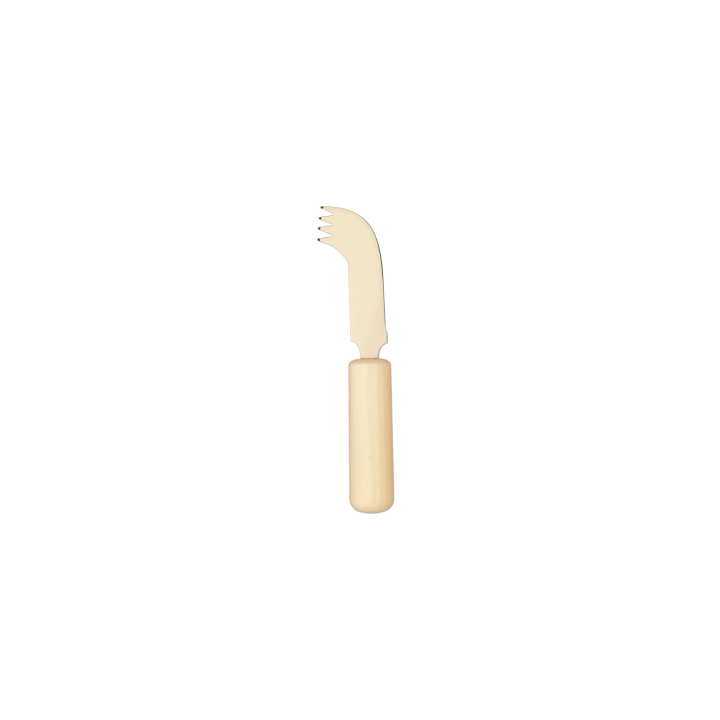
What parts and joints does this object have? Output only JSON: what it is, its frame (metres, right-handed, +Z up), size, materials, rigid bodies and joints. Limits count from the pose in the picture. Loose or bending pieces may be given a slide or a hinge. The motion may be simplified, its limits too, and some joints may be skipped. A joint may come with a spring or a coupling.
{
  "type": "cheese knife",
  "caption": "Small cheese knife with a hooked steel blade ending in serving tines, glued by its tang into a turned round wooden handle.",
  "frame": {"origin": "middle of the box round the knife as it lies, on the table surface", "axes": "+Y along the handle axis from the butt towards the blade, +Z up from the table, +X towards the cutting edge; the blade is rolled about the handle axis so that the last tine touches the table"},
  "size_m": [0.0366, 0.1542, 0.0226],
  "materials": {
    "blade_steel": "polished, warm white",
    "handle_wood": "turned, sanded, satin clear coat",
    "cured_adhesive": "cured clear amber"
  },
  "bodies": {
    "root": {"blade": "blade_steel", "handle": "handle_wood", "tang_adhesive": "cured_adhesive"}
  },
  "joints": []
}
